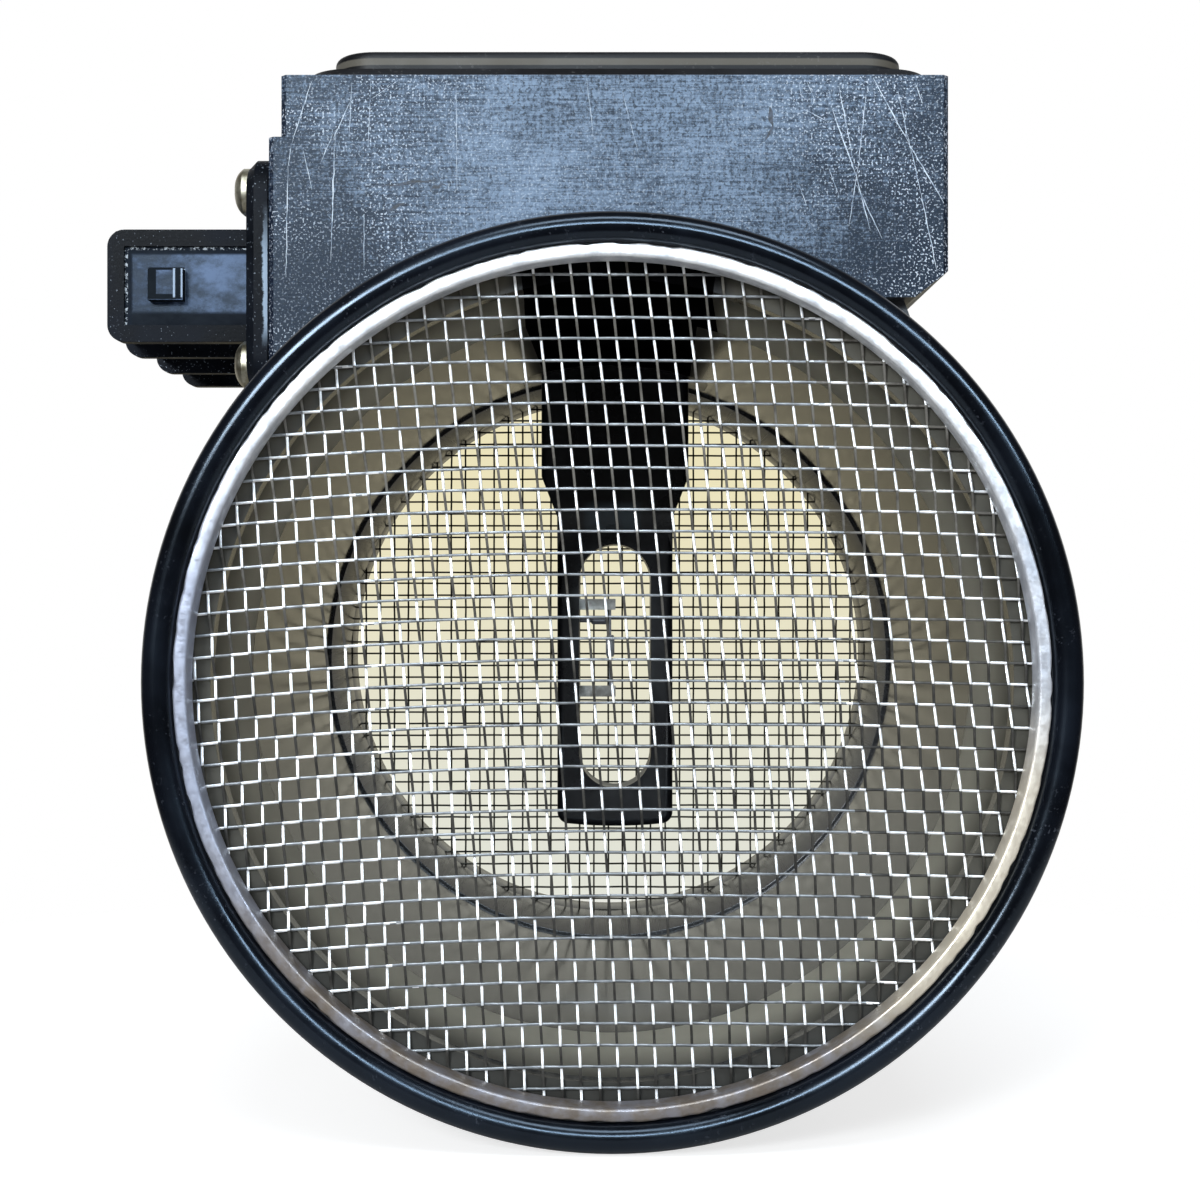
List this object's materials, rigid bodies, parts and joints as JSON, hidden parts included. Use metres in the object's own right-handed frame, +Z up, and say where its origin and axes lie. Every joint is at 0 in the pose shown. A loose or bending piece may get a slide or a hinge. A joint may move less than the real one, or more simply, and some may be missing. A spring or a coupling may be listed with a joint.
{
  "type": "mass airflow sensor",
  "caption": "Mass airflow sensor: a round duct with wire-cloth screens, a windowed probe with a heated element, an electronics box on top and a side connector.",
  "frame": {"origin": "on the duct's axis, in the middle of the inlet seal's straight band, 8 mm behind the inlet rim", "axes": "+Y along the duct with the air flow, +Z up through the electronics box, connector on the -X side"},
  "size_m": [0.1066, 0.113, 0.1187],
  "materials": {
    "black_moulding": "smooth black glass-filled moulding, worn and scratched outside",
    "probe_moulding": "deep black moulding",
    "header_moulding": "black moulding with a sheen",
    "seal_rubber": "smooth black rubber",
    "sealing_compound": "grey sealing compound",
    "ring_metal": "worn bare aluminium",
    "wire_cloth": "plain-woven stainless wire",
    "post_metal": "dull metal post",
    "element_ceramic": "glazed wound bobbin",
    "element_glass": "coated bead",
    "plate_metal": "milled aluminium plate",
    "board_ceramic": "white ceramic",
    "package_plastic": "black moulded package",
    "capacitor_body": "tan moulded block",
    "tinned_metal": "tinned brass",
    "strip_metal": "bare copper strip",
    "screw_metal": "zinc-plated with a pale yellow tint"
  },
  "bodies": {
    "root": {"housing": "black_moulding", "outlet_sleeve": "black_moulding", "lid": "black_moulding", "probe": "probe_moulding", "connector_header": "header_moulding", "inlet_seal": "seal_rubber", "probe_gasket": "seal_rubber", "connector_gasket": "seal_rubber", "lid_seal": "sealing_compound", "inlet_ring": "ring_metal", "outlet_ring": "ring_metal", "inlet_screen": "wire_cloth", "outlet_screen": "wire_cloth", "upper_post": "post_metal", "lower_post": "post_metal", "hot_element": "element_ceramic", "temperature_element": "element_glass", "base_plate": "plate_metal", "circuit_board": "board_ceramic", "bridge_resistor": "board_ceramic", "control_chip": "package_plastic", "amplifier_chip": "package_plastic", "power_transistor": "package_plastic", "capacitor_1": "capacitor_body", "capacitor_2": "capacitor_body", "capacitor_3": "capacitor_body", "terminal_1": "tinned_metal", "terminal_2": "tinned_metal", "terminal_3": "tinned_metal", "terminal_4": "tinned_metal", "terminal_5": "tinned_metal", "terminal_6": "tinned_metal", "terminal_strip_1": "strip_metal", "terminal_strip_2": "strip_metal", "terminal_strip_3": "strip_metal", "terminal_strip_4": "strip_metal", "terminal_strip_5": "strip_metal", "terminal_strip_6": "strip_metal", "probe_lead_1": "strip_metal", "probe_lead_2": "strip_metal", "probe_lead_3": "strip_metal", "probe_lead_4": "strip_metal", "header_screw_1": "screw_metal", "header_screw_2": "screw_metal", "header_screw_3": "screw_metal", "header_screw_4": "screw_metal", "probe_screw_1": "screw_metal", "probe_screw_2": "screw_metal"}
  },
  "joints": []
}
